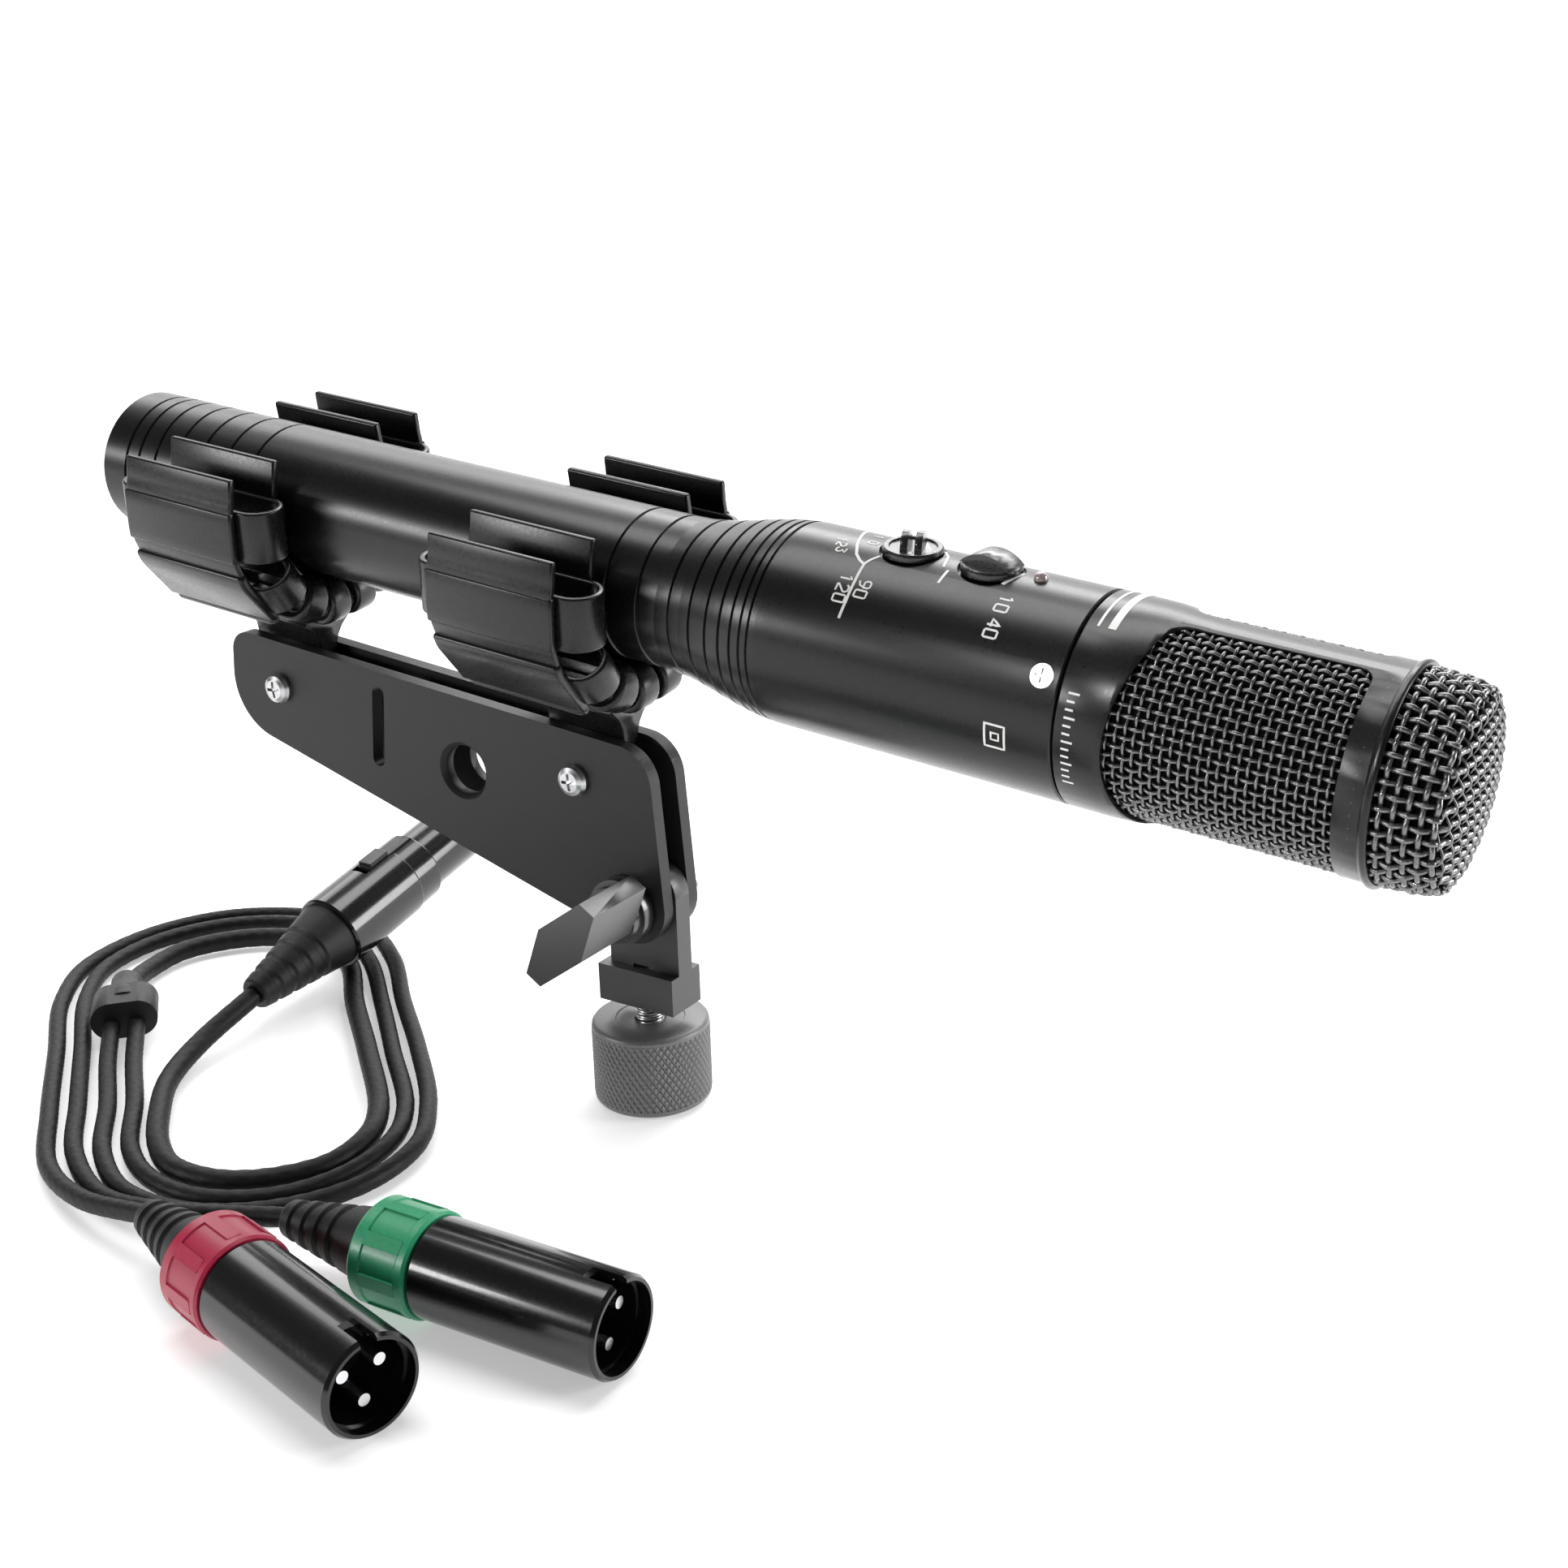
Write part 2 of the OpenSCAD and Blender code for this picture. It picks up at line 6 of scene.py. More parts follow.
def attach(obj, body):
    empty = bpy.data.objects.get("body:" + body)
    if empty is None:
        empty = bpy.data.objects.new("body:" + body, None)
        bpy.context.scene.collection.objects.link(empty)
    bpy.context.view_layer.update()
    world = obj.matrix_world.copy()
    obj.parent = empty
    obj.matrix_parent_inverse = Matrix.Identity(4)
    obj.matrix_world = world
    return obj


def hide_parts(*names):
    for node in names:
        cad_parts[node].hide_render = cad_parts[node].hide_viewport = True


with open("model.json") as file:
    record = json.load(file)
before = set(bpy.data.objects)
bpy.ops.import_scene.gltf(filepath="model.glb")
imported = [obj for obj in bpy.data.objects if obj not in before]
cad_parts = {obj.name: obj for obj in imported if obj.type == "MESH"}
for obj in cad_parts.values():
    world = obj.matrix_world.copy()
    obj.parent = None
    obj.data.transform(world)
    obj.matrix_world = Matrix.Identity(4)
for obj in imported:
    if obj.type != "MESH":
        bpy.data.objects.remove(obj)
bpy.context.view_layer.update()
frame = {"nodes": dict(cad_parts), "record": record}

MM = 0.001
SC = bpy.context.scene
SC.view_settings.view_transform = "Standard"
SC.view_settings.look = "None"

# ---------------------------------------------------------------- frames
PIVOT = 46.5 * MM
TILT = math.radians(5.2)
ROLL = math.radians(5)
MIC_H = 69.8 * MM
T_TILT = Matrix.Translation((0, 0, PIVOT)) @ Matrix.Rotation(TILT, 4, "Y")
T_MIC = T_TILT @ Matrix.Translation((0, 0, MIC_H)) @ Matrix.Rotation(ROLL, 4, "X")
T_PLUG5 = Matrix.Translation((-0.101, -0.020, 0.008)) @ Matrix.Rotation(math.radians(90), 4, "Z") @ Matrix.Rotation(math.radians(-12.5), 4, "Y")
T_RED = Matrix.Translation((-0.044, -0.102, 0.0095)) @ Matrix.Rotation(math.radians(-14), 4, "Z")
T_GREEN = Matrix.Translation((-0.020, -0.089, 0.0095)) @ Matrix.Rotation(math.radians(2), 4, "Z")


def xf(m, pts):
    a = np.array(m)
    p = np.asarray(pts, float)
    return p @ a[:3, :3].T + a[:3, 3]


# ---------------------------------------------------------------- camera
def camera():
    az, el, ro = (math.radians(v) for v in (31.81, 18.71, 1.09))
    back = np.array([math.sin(az) * math.cos(el), -math.cos(az) * math.cos(el), math.sin(el)])
    right = np.array([math.cos(az), math.sin(az), 0.0])
    down = np.cross(-back, right)
    r2 = math.cos(ro) * right + math.sin(ro) * down
    d2 = -math.sin(ro) * right + math.cos(ro) * down
    m = Matrix.Identity(4)
    for i in range(3):
        m[i][0], m[i][1], m[i][2] = r2[i], -d2[i], back[i]
    m[0][3], m[1][3], m[2][3] = 0.2570, -0.3356, 0.2254
    d = bpy.data.cameras.new("cam")
    d.sensor_width = 36
    d.lens = 2631.26 / 1932 * 36
    d.shift_x = (966 - 1029.7) / 1932
    d.shift_y = (901.2 - 966) / 1932
    d.clip_start = 0.01
    d.clip_end = 50
    o = bpy.data.objects.new("cam", d)
    SC.collection.objects.link(o)
    o.matrix_world = m
    SC.camera = o


camera()


# ---------------------------------------------------------------- materials
def sock(node, *names):
    for n in names:
        if n in node.inputs:
            return node.inputs[n]
    raise KeyError(names)


MATS = {}


def material(name, base, rough=0.5, metal=0.0, var=0.25, rvar=0.08, scale=400.0, bump=0.1, bdist=0.00005, bscale=1500.0,
             coat=0.0, coat_rough=0.2, spec=0.5, sheen=0.0, brush=None, worn=0.0, worn_col=(0.3, 0.3, 0.3)):
    m = bpy.data.materials.new(name)
    m.use_nodes = True
    nt = m.node_tree
    nt.nodes.clear()
    out = nt.nodes.new("ShaderNodeOutputMaterial")
    b = nt.nodes.new("ShaderNodeBsdfPrincipled")
    nt.links.new(b.outputs[0], out.inputs[0])
    tc = nt.nodes.new("ShaderNodeTexCoord")
    mp = nt.nodes.new("ShaderNodeMapping")
    if brush:
        mp.inputs["Scale"].default_value = brush
    nt.links.new(tc.outputs["Object"], mp.inputs["Vector"])
    n1 = nt.nodes.new("ShaderNodeTexNoise")
    n1.inputs["Scale"].default_value = scale
    n1.inputs["Detail"].default_value = 4
    nt.links.new(mp.outputs[0], n1.inputs["Vector"])
    n3 = nt.nodes.new("ShaderNodeTexNoise")
    n3.inputs["Scale"].default_value = 45
    n3.inputs["Detail"].default_value = 3
    nt.links.new(tc.outputs["Object"], n3.inputs["Vector"])
    add = nt.nodes.new("ShaderNodeMath")
    add.operation = "MULTIPLY_ADD"
    add.inputs[1].default_value = 0.2
    nt.links.new(n3.outputs[0], add.inputs[0])
    nt.links.new(n1.outputs[0], add.inputs[2])
    cr = nt.nodes.new("ShaderNodeValToRGB")
    cr.color_ramp.elements[0].position = 0.35
    cr.color_ramp.elements[1].position = 0.85
    lo = [max(0.0, c * (1 - var)) for c in base[:3]]
    hi = [min(1.0, c * (1 + var)) for c in base[:3]]
    cr.color_ramp.elements[0].color = (*lo, 1)
    cr.color_ramp.elements[1].color = (*hi, 1)
    nt.links.new(add.outputs[0], cr.inputs[0])
    nt.links.new(cr.outputs[0], b.inputs["Base Color"])
    mr = nt.nodes.new("ShaderNodeMapRange")
    mr.inputs["From Min"].default_value = 0.3
    mr.inputs["From Max"].default_value = 0.7
    mr.inputs["To Min"].default_value = max(0.02, rough - rvar)
    mr.inputs["To Max"].default_value = min(1.0, rough + rvar)
    nt.links.new(n1.outputs[0], mr.inputs["Value"])
    nt.links.new(mr.outputs[0], b.inputs["Roughness"])
    b.inputs["Metallic"].default_value = metal
    sock(b, "Specular IOR Level", "Specular").default_value = spec
    if coat:
        sock(b, "Coat Weight", "Clearcoat").default_value = coat
        sock(b, "Coat Roughness", "Clearcoat Roughness").default_value = coat_rough
    if sheen:
        sock(b, "Sheen Weight", "Sheen").default_value = sheen
    if bump:
        n2 = nt.nodes.new("ShaderNodeTexNoise")
        n2.inputs["Scale"].default_value = bscale
        n2.inputs["Detail"].default_value = 3
        nt.links.new(mp.outputs[0], n2.inputs["Vector"])
        bp = nt.nodes.new("ShaderNodeBump")
        bp.inputs["Strength"].default_value = bump
        bp.inputs["Distance"].default_value = bdist
        nt.links.new(n2.outputs[0], bp.inputs["Height"])
        nt.links.new(bp.outputs[0], b.inputs["Normal"])
    MATS[name] = m
    return m


material("mic_black", (0.0035, 0.0035, 0.0038), 0.3, var=0.25, rvar=0.03, scale=1800, bump=0.2, bdist=0.00002, bscale=2600, coat=0.1, coat_rough=0.2, spec=0.32)
material("mesh_wire", (0.17, 0.17, 0.172), 0.3, metal=0.9, var=0.3, rvar=0.06, scale=1500, bump=0.12, bdist=0.00001, bscale=3000)
material("foam", (0.003, 0.003, 0.003), 0.95, var=0.5, rvar=0.03, bump=0.9, bdist=0.0003, bscale=1800, spec=0.05)
material("bridge_plastic", (0.03, 0.03, 0.03), 0.5)
material("capsule_brass", (0.72, 0.52, 0.25), 0.3, metal=1.0, var=0.1)
material("board_green", (0.02, 0.11, 0.06), 0.45)
material("switch_plastic", (0.05, 0.05, 0.055), 0.5)
material("lamp_red", (0.22, 0.17, 0.165), 0.1, var=0.15, coat=1.0, coat_rough=0.04, spec=0.8)
material("battery_steel", (0.6, 0.6, 0.58), 0.35, metal=1.0, var=0.1)
material("contact_gold", (0.83, 0.62, 0.27), 0.25, metal=1.0, var=0.08)
material("socket_steel", (0.42, 0.42, 0.43), 0.3, metal=1.0, var=0.08)
material("insert_plastic", (0.012, 0.012, 0.013), 0.42, var=0.2, bump=0.2)
material("screw_steel", (0.50, 0.50, 0.51), 0.3, metal=1.0, var=0.05, rvar=0.03, scale=900, bump=0.03, bdist=0.000004, bscale=1800)
material("knob_black", (0.006, 0.006, 0.0065), 0.28, var=0.25, rvar=0.04, scale=1600, bump=0.2, bdist=0.00002, bscale=1900, coat=0.3, coat_rough=0.15)
material("cradle_elastomer", (0.006, 0.006, 0.0064), 0.3, var=0.25, rvar=0.04, scale=1300, bump=0.08, bdist=0.00001, bscale=1500, spec=0.4)
material("plate_black", (0.010, 0.010, 0.0103), 0.46, var=0.3, rvar=0.05, scale=2200, bump=0.5, bdist=0.00004, bscale=2400, spec=0.35)
material("wing_gloss", (0.012, 0.012, 0.012), 0.3, var=0.1, rvar=0.02, scale=1500, bump=0.03, bdist=0.000004, bscale=900, coat=0.2, coat_rough=0.2, spec=0.9)
material("block_black", (0.020, 0.020, 0.021), 0.4, var=0.25, rvar=0.05, scale=1800, bump=0.4, bdist=0.00004, bscale=2000, spec=0.7)
material("adapter_grey", (0.15, 0.15, 0.152), 0.45, metal=0.35, var=0.15, rvar=0.05, scale=1500, bump=0.2, bdist=0.00002, bscale=1600)
material("shell_black", (0.004, 0.004, 0.0045), 0.2, var=0.2, rvar=0.03, scale=1500, bump=0.1, bdist=0.00001, bscale=1500, coat=0.3, coat_rough=0.08, spec=0.4)
material("latch_steel", (0.03, 0.03, 0.031), 0.35, metal=0.6, var=0.08)
material("boot_rubber", (0.006, 0.006, 0.006), 0.5, var=0.25, rvar=0.05, scale=1500, bump=0.4, bdist=0.00003, bscale=1500, spec=0.35)
material("ring_red", (0.36, 0.010, 0.045), 0.4, var=0.1, rvar=0.04, scale=1300, bump=0.2, bdist=0.00003, bscale=1500, coat=0.15)
material("ring_green", (0.02, 0.30, 0.135), 0.4, var=0.1, rvar=0.04, scale=1300, bump=0.2, bdist=0.00003, bscale=1500, coat=0.15)
material("pin_silver", (0.75, 0.75, 0.76), 0.22, metal=1.0, var=0.05)
material("print_white", (0.62, 0.62, 0.60), 0.55, var=0.05, scale=1600, bump=0.2, bdist=0.00001, bscale=3000)


def cord_material():
    """black jacket of a braided cable, with fine noise in its tone, roughness and bump"""
    m = bpy.data.materials.new("cord_black")
    m.use_nodes = True
    nt = m.node_tree
    b = nt.nodes["Principled BSDF"]
    tc = nt.nodes.new("ShaderNodeTexCoord")
    w = nt.nodes.new("ShaderNodeTexNoise")
    w.inputs["Scale"].default_value = 900
    w.inputs["Detail"].default_value = 4
    nt.links.new(tc.outputs["Object"], w.inputs["Vector"])
    cr = nt.nodes.new("ShaderNodeValToRGB")
    cr.color_ramp.elements[0].color = (0.003, 0.003, 0.003, 1)
    cr.color_ramp.elements[1].color = (0.010, 0.010, 0.0095, 1)
    nt.links.new(w.outputs[0], cr.inputs[0])
    nt.links.new(cr.outputs[0], b.inputs["Base Color"])
    mr = nt.nodes.new("ShaderNodeMapRange")
    mr.inputs["To Min"].default_value = 0.4
    mr.inputs["To Max"].default_value = 0.62
    nt.links.new(w.outputs[0], mr.inputs["Value"])
    nt.links.new(mr.outputs[0], b.inputs["Roughness"])
    bp = nt.nodes.new("ShaderNodeBump")
    b.inputs["Specular IOR Level"].default_value = 0.2
    bp.inputs["Strength"].default_value = 0.4
    bp.inputs["Distance"].default_value = 0.00005
    nt.links.new(w.outputs[0], bp.inputs["Height"])
    nt.links.new(bp.outputs[0], b.inputs["Normal"])
    MATS["cord_black"] = m


cord_material()

# CAD nodes take their material from the record's slot
slot_of = {s["node"]: s["material_slot"] for s in frame["record"]["subparts"]}
for n, o in frame["nodes"].items():
    m = MATS[slot_of[n]]
    if not o.material_slots:
        o.data.materials.append(m)
    for s in o.material_slots:
        s.material = m


# ---------------------------------------------------------------- mesh helpers
def piece(name, verts, faces, mat, body, smooth=True, replaces=(), sharp=None):
    me = bpy.data.meshes.new(name)
    me.from_pydata([tuple(v) for v in verts], [], [tuple(int(i) for i in f) for f in faces])
    me.validate()
    me.update()
    o = bpy.data.objects.new(name, me)
    SC.collection.objects.link(o)
    me.materials.append(MATS[mat])
    if smooth:
        me.polygons.foreach_set("use_smooth", [True] * len(me.polygons))
        if sharp:
            try:
                me.set_sharp_from_angle(angle=math.radians(sharp))
            except AttributeError:
                pass
    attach(o, body)
    if replaces:
        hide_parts(*replaces)
    return o


def grid_faces(nu, nv, wrap_u=False, wrap_v=True, base=0):
    f = []
    for i in range(nu if wrap_u else nu - 1):
        for k in range(nv if wrap_v else nv - 1):
            a = base + i * nv + k
            b_ = base + i * nv + (k + 1) % nv
            c = base + ((i + 1) % nu) * nv + (k + 1) % nv
            d = base + ((i + 1) % nu) * nv + k
            f.append((a, b_, c, d))
    return f


def wires(paths, r, sides=6, closed=False):
    """tubes along paths; each path is (points, outward normals)"""
    V, F = [], []
    base = 0
    ang = np.arange(sides) * 2 * np.pi / sides
    for P, N in paths:
        P = np.asarray(P, float)
        N = np.asarray(N, float)
        if closed:
            t = np.roll(P, -1, 0) - np.roll(P, 1, 0)
        else:
            t = np.gradient(P, axis=0)
        t /= np.linalg.norm(t, axis=1)[:, None]
        bN = np.cross(t, N)
        bN /= np.linalg.norm(bN, axis=1)[:, None]
        n2 = np.cross(bN, t)
        ring = P[:, None, :] + r * (np.cos(ang)[None, :, None] * n2[:, None, :] + np.sin(ang)[None, :, None] * bN[:, None, :])
        m = len(P)
        V.append(ring.reshape(-1, 3))
        F += grid_faces(m, sides, wrap_u=closed, base=base)
        if not closed:
            F.append(tuple(base + k for k in range(sides - 1, -1, -1)))
            F.append(tuple(base + (m - 1) * sides + k for k in range(sides)))
        base += m * sides
    return np.concatenate(V), F


def lathe(prof, n=128):
    """closed profile [(x, r)] turned about X"""
    a = np.arange(n) * 2 * np.pi / n
    V = [(x, r * math.sin(t), r * math.cos(t)) for x, r in prof for t in a]
    return np.array(V), grid_faces(len(prof), n, wrap_u=True)


# ---------------------------------------------------------------- cords
trunk_pts = [[-101,-20,8],[-100,-38,4],[-95,-52,2.4],[-85,-64,2.4],[-74,-74,2.4],[-64,-79,2.4],[-52,-78,2.4],[-43,-72,2.4],[-37,-62,2.4],[-38,-50,2.4],[-44,-40,2.4],[-66,-20,2.4],[-86,-3,2.4],[-102,12,2.4],[-114,18,2.4],[-127,17,2.4],[-138,10,2.4],[-145,-2,2.4],[-144,-15,2.4],[-137,-27,4.5]]
red_pts = [[-123,-44,4.5],[-113,-54,2.5],[-98,-67,2],[-82,-82,2],[-66,-90,2],[-49,-89,2],[-34,-79,2],[-26,-64,2],[-27,-47,2],[-37,-32,2],[-57,-13,2],[-77,4,2],[-96,21,2],[-114,31,2],[-134,30,2],[-152,19,2],[-161,1,2],[-160,-20,2],[-149,-37,2],[-128,-56,2],[-106,-76,2],[-88,-91,2],[-68,-99,4.5],[-44,-102,9.5]]
green_pts = [[-119,-40,4.5],[-109,-50,2.5],[-94,-63,2],[-78,-78,2],[-65,-84,2],[-51,-84,2],[-38,-76,2],[-32,-63,2],[-33,-48,2],[-40,-36,2],[-61,-17,2],[-80,0,2],[-100,17,2],[-115,25,2],[-133,25,2],[-148,15,2],[-156,-1,2],[-155,-18,2],[-145,-33,2],[-124,-52,2],[-104,-70,2],[-87,-85,2],[-68,-94,2.5],[-46,-95,6],[-20,-89,9.5]]


def smooth_line(pts, step=0.8):
    """centripetal Catmull-Rom through the points, evenly resampled, mm"""
    p = np.asarray(pts, float)
    p = np.vstack([2 * p[0] - p[1], p, 2 * p[-1] - p[-2]])
    out = []
    for i in range(1, len(p) - 2):
        p0, p1, p2, p3 = p[i - 1:i + 3]
        t0 = 0
        t1 = t0 + np.linalg.norm(p1 - p0) ** 0.5
        t2 = t1 + np.linalg.norm(p2 - p1) ** 0.5
        t3 = t2 + np.linalg.norm(p3 - p2) ** 0.5
        for t in np.linspace(t1, t2, 24, endpoint=False):
            a1 = (t1 - t) / (t1 - t0) * p0 + (t - t0) / (t1 - t0) * p1
            a2 = (t2 - t) / (t2 - t1) * p1 + (t - t1) / (t2 - t1) * p2
            a3 = (t3 - t) / (t3 - t2) * p2 + (t - t2) / (t3 - t2) * p3
            b1 = (t2 - t) / (t2 - t0) * a1 + (t - t0) / (t2 - t0) * a2
            b2 = (t3 - t) / (t3 - t1) * a2 + (t - t1) / (t3 - t1) * a3
            out.append((t2 - t) / (t2 - t1) * b1 + (t - t1) / (t2 - t1) * b2)
    out.append(p[-2])
    out = np.array(out)
    s = np.concatenate([[0], np.cumsum(np.linalg.norm(np.diff(out, axis=0), axis=1))])
    k = np.linspace(0, s[-1], int(s[-1] / step) + 1)
    return np.stack([np.interp(k, s, out[:, j]) for j in range(3)], 1), s[-1]


def braided(name, pts, r, node):
    """round jacket with shallow crossing ribs"""
    P, L = smooth_line(pts, 0.7)
    t = np.gradient(P, axis=0)
    t /= np.linalg.norm(t, axis=1)[:, None]
    s = np.cross([0, 0, 1], t)
    s /= np.linalg.norm(s, axis=1)[:, None]
    w = np.cross(t, s)
    n = 24
    a = np.arange(n) * 2 * np.pi / n
    k = np.arange(len(P)) * 0.7
    A, K = np.meshgrid(a, k)
    rib = np.maximum(np.cos(6 * A + K * 2 * np.pi / 4.2), np.cos(6 * A - K * 2 * np.pi / 4.2))
    R = (r - 0.07) + 0.07 * rib
    V = P[:, None, :] + R[:, :, None] * (np.cos(A)[:, :, None] * s[:, None, :] + np.sin(A)[:, :, None] * w[:, None, :])
    m = len(P)
    F = grid_faces(m, n)
    F.append(tuple(range(n - 1, -1, -1)))
    F.append(tuple((m - 1) * n + i for i in range(n)))
    o = piece(name, V.reshape(-1, 3) * MM, F, "cord_black", "adapter", replaces=(node,))
    return o, P * MM, L * MM


ctrunk, ptrunk, ltrunk = braided("cord_trunk", trunk_pts, 2.4, "trunk_cable")
cred, pred, lred = braided("cord_leg_red", red_pts, 2.0, "leg_red")
cgreen, pgreen, lgreen = braided("cord_leg_green", green_pts, 2.0, "leg_green")
N = frame["nodes"]

# ---------------------------------------------------------------- woven wire
def hoop_normal(a):
    return np.stack([np.zeros_like(a), -np.sin(a), np.cos(a)], 1)


def window_weave():
    r0, amp, pitch, rw = 18.35, 0.33, 1.72, 0.37
    n = 62
    dth = 2 * math.pi / n
    paths = []
    x = np.arange(104.3, 150.4, pitch / 5)
    for i in range(n):
        th = np.full_like(x, i * dth)
        nr = hoop_normal(th)
        rr = r0 + amp * np.cos(np.pi * (x - 105) / pitch) * (-1) ** i
        paths.append((np.stack([x, 0 * x, 0 * x], 1) + nr * rr[:, None], nr))
    V1, F1 = wires(paths, rw)
    paths = []
    th = np.linspace(0, 2 * math.pi, n * 5, endpoint=False)
    nr = hoop_normal(th)
    for j in range(27):
        rr = r0 - amp * np.cos(th / dth * np.pi) * (-1) ** j
        paths.append((np.stack([np.full_like(th, 105 + j * pitch), 0 * th, 0 * th], 1) + nr * rr[:, None], nr))
    V2, F2 = wires(paths, rw * 0.86, closed=True)
    F = F1 + [tuple(i + len(V1) for i in f) for f in F2]
    piece("window_weave", xf(T_MIC, np.concatenate([V1, V2]) * MM), F, "mesh_wire", "microphone", replaces=("window_mesh",))


def cap_profile(s):
    """cap outline from the band to the rim of the face: length s along it -> (x, r, outward x, outward r)"""
    pts = np.array([[151.2, 18.35], [157, 18.35], [161.5, 18.1], [164.6, 17.6], [165.9, 16.9], [166.5, 15.9], [166.8, 14.5]])
    d = np.concatenate([[0], np.cumsum(np.linalg.norm(np.diff(pts, axis=0), axis=1))])
    x = np.interp(s, d, pts[:, 0])
    r = np.interp(s, d, pts[:, 1])
    e = 0.4
    dx = np.interp(s + e, d, pts[:, 0]) - np.interp(s - e, d, pts[:, 0])
    dr = np.interp(s + e, d, pts[:, 1]) - np.interp(s - e, d, pts[:, 1])
    l = np.hypot(dx, dr) + 1e-9
    return x, r, -dr / l, dx / l, d[-1]


def cap_weave():
    amp, rw, pitch = 0.42, 0.5, 2.25
    n = 52
    dth = 2 * math.pi / n
    paths = []
    s = np.arange(0.6, 15.3, 0.45)
    x, r, nx, nrr, tot = cap_profile(s)
    for i in range(n):
        off = amp * np.cos(np.pi * (s - 1.0) / pitch) * (-1) ** i
        a = i * dth
        h = np.array([0, -math.sin(a), math.cos(a)])
        nv = nx[:, None] * np.array([1.0, 0, 0]) + nrr[:, None] * h
        p = x[:, None] * np.array([1.0, 0, 0]) + r[:, None] * h
        paths.append((p + nv * off[:, None], nv))
    V1, F1 = wires(paths, rw, sides=8)
    paths = []
    th = np.linspace(0, 2 * math.pi, n * 6, endpoint=False)
    for j in range(7):
        sj = np.full_like(th, 1.0 + j * pitch)
        x, r, nx, nrr, _ = cap_profile(sj)
        h = hoop_normal(th)
        nv = nx[:, None] * np.array([1.0, 0, 0]) + nrr[:, None] * h
        p = x[:, None] * np.array([1.0, 0, 0]) + r[:, None] * h
        off = -amp * np.cos(th / dth * np.pi) * (-1) ** j
        paths.append((p + nv * off[:, None], nv))
    V2, F2 = wires(paths, rw, sides=8, closed=True)
    # face: eleven stout level wires with finer upright ones woven over and under them, on a shallow dome
    paths, thin = [], []
    g, g2, rf = 2.9, 1.45, 16.3

    def dome(y, z):
        q = np.minimum(np.hypot(y, z), rf + 0.4)
        return np.interp(q, [0, 5, 10, 14, 15.7, 16.7], [168.2, 168.0, 167.5, 166.8, 166.2, 165.4])

    def put(dst, fam, c, swing, phase):
        half = math.sqrt(max(rf * rf - c * c, 0.5))
        u = np.linspace(-half, half, max(8, int(2 * half / 0.36)))
        y, z = (u, np.full_like(u, c)) if fam == 0 else (np.full_like(u, c), u)
        off = swing * np.cos(np.pi * u / (g2 if fam == 0 else g)) * phase
        xx = dome(y, z)
        e = 0.3
        gy = (dome(y + e, z) - dome(y - e, z)) / (2 * e)
        gz = (dome(y, z + e) - dome(y, z - e)) / (2 * e)
        nv = np.stack([np.ones_like(u), -gy, -gz], 1)
        nv /= np.linalg.norm(nv, axis=1)[:, None]
        dst.append((np.stack([xx, y, z], 1) + nv * off[:, None], nv))

    for i in range(-5, 6):
        put(paths, 0, i * g, 0.15, (-1) ** i)
    for k in range(-11, 12):
        put(thin, 1, k * g2, 0.72, (-1) ** k)
    V3, F3 = wires(paths, 0.66, sides=10)
    V4, F4 = wires(thin, 0.27)
    F, V, base = [], [], 0
    for v, f in ((V1, F1), (V2, F2), (V3, F3), (V4, F4)):
        F += [tuple(i + base for i in q) for q in f]
        V.append(v)
        base += len(v)
    piece("front_weave", xf(T_MIC, np.concatenate(V) * MM), F, "mesh_wire", "microphone", replaces=("front_mesh",))


window_weave()
cap_weave()


# ---------------------------------------------------------------- knurled adapter and threads
def knurled_adapter():
    n = 448
    a = np.arange(n) * 2 * np.pi / n
    rows = []
    z = np.arange(1.0, 17.51, 0.15)
    per = 56
    for q in z:
        if q < 1.5 or q > 17.0:
            rows.append((q, np.full(n, 12.78)))
            continue
        u = a * per / (2 * np.pi)
        c = q / 81.0 * per * math.tan(math.radians(33))
        g1 = np.maximum(0, 1 - np.abs(((u + c) % 1) - 0.5) * 2 / 0.55)
        g2 = np.maximum(0, 1 - np.abs(((u - c) % 1) - 0.5) * 2 / 0.55)
        rows.append((q, 12.9 - np.maximum(0.42 * g1, 0.26 * g2)))
    prof = [(0.0, np.full(n, 8.3)), (0.0, np.full(n, 11.9)), (0.25, np.full(n, 12.3)), (0.8, np.full(n, 12.75))] + rows + [(17.75, np.full(n, 12.75)), (18.25, np.full(n, 12.35)), (18.5, np.full(n, 11.9)), (18.5, np.full(n, 7.6)), (18.3, np.full(n, 7.4)), (18.3, np.full(n, 3.9)), (18.1, np.full(n, 3.4)), (17.8, np.full(n, 3.2)), (13.0, np.full(n, 3.2)), (13.0, np.full(n, 7.35))]
    zz = 12.6
    while zz > 0.9:
        ph = (a / (2 * np.pi) + zz / 0.94) % 1
        prof.append((zz, 7.35 + 0.5 * np.abs(ph - 0.5) * 2))
        zz -= 0.157
    prof.append((0.75, np.full(n, 7.9)))
    V = []
    for q, r in prof:
        V.append(np.stack([r * np.cos(a), r * np.sin(a), np.full(n, q)], 1))
    V = np.concatenate(V)
    F = grid_faces(len(prof), n, wrap_u=True)
    piece("adapter_knurled", V * MM, F, "adapter_grey", "adapter", replaces=("stand_adapter",), sharp=38)


